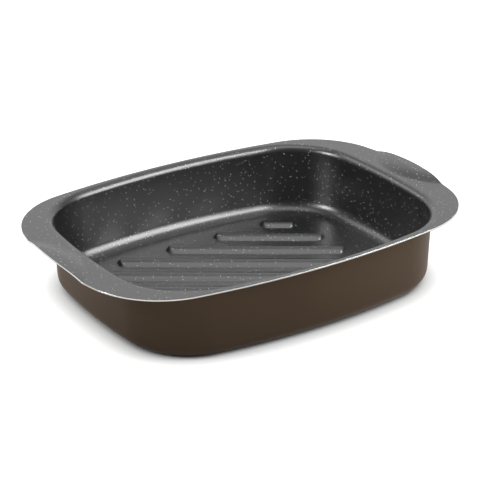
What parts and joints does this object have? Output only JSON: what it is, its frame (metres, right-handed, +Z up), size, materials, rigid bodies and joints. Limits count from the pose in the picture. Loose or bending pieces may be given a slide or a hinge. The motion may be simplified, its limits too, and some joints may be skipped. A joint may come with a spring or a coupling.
{
  "type": "baking pan",
  "caption": "Deep rounded rectangular baking pan pressed from sheet, with upright walls, a wide flat rim, a raised thumb grip on each short end and raised diagonal ribs across the floor.",
  "frame": {"origin": "middle of the pan in plan, on the table that it stands on", "axes": "+X along the pan's length towards one grip, +Y across its width, +Z up out of the open top"},
  "size_m": [0.4, 0.281, 0.0745],
  "materials": {
    "bare_aluminium": "bare, bright where the sheet is trimmed",
    "flecked_nonstick": "dark grey non-stick coating with fine pale flecks, semi-gloss",
    "brown_lacquer": "dark brown heat-proof lacquer, satin",
    "base_lacquer": "dark brown heat-proof lacquer, satin, on the underside"
  },
  "bodies": {
    "root": {"pressed_sheet": "bare_aluminium", "nonstick_lining": "flecked_nonstick", "wall_lacquer": "brown_lacquer", "base_lacquer": "base_lacquer"}
  },
  "joints": []
}
